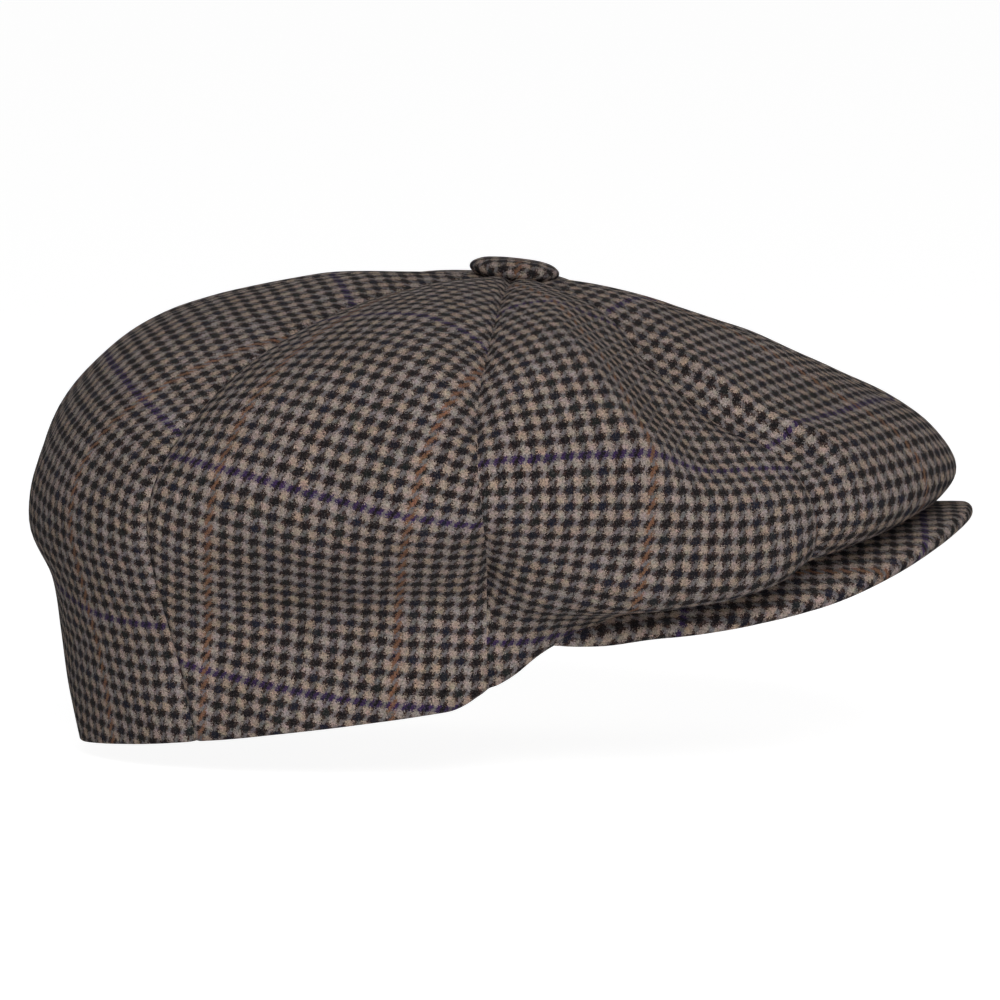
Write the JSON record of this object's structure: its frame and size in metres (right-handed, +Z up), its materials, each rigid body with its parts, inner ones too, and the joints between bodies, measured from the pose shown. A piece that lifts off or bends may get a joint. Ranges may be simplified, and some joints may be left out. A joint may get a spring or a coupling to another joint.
{
  "type": "newsboy cap",
  "caption": "Soft full newsboy cap in checked wool: gored crown, covered button, curved visor, lining and sweatband.",
  "frame": {"origin": "centre of the head opening, as the cap is worn", "axes": "+X forward through the visor, +Y to the wearer's left, +Z up as worn"},
  "size_m": [0.2822, 0.2352, 0.1439],
  "materials": {
    "wool": "brushed houndstooth wool",
    "lining": "satin weave",
    "sweatband": "ribbed cotton band",
    "tape": "plain woven tape",
    "board": "flexible sheet",
    "steel": "plated"
  },
  "bodies": {
    "crown": {"crown_gore_front_right": "wool", "crown_gore_front_side_right": "wool", "crown_gore_rear_side_right": "wool", "crown_gore_rear_right": "wool", "crown_gore_rear_left": "wool", "crown_gore_rear_side_left": "wool", "crown_gore_front_side_left": "wool", "crown_gore_front_left": "wool", "lining_gore_front_right": "lining", "lining_gore_front_side_right": "lining", "lining_gore_rear_side_right": "lining", "lining_gore_rear_right": "lining", "lining_gore_rear_left": "lining", "lining_gore_rear_side_left": "lining", "lining_gore_front_side_left": "lining", "lining_gore_front_left": "lining", "stay_tape": "tape", "sweatband": "sweatband", "button_cover": "wool", "button_shell": "steel", "button_prong": "steel"},
    "visor": {"visor_board": "board", "visor_top_cover": "wool", "visor_under_cover": "wool"}
  },
  "joints": [
    {"name": "visor_flex", "type": "hinge", "parent": "crown", "child": "visor", "pos_m": [0.0385, 0, 0.0125], "axis": [0, 1, 0], "range_deg": [0, 10], "stiffness_Nm_per_rad": 1.2}
  ]
}
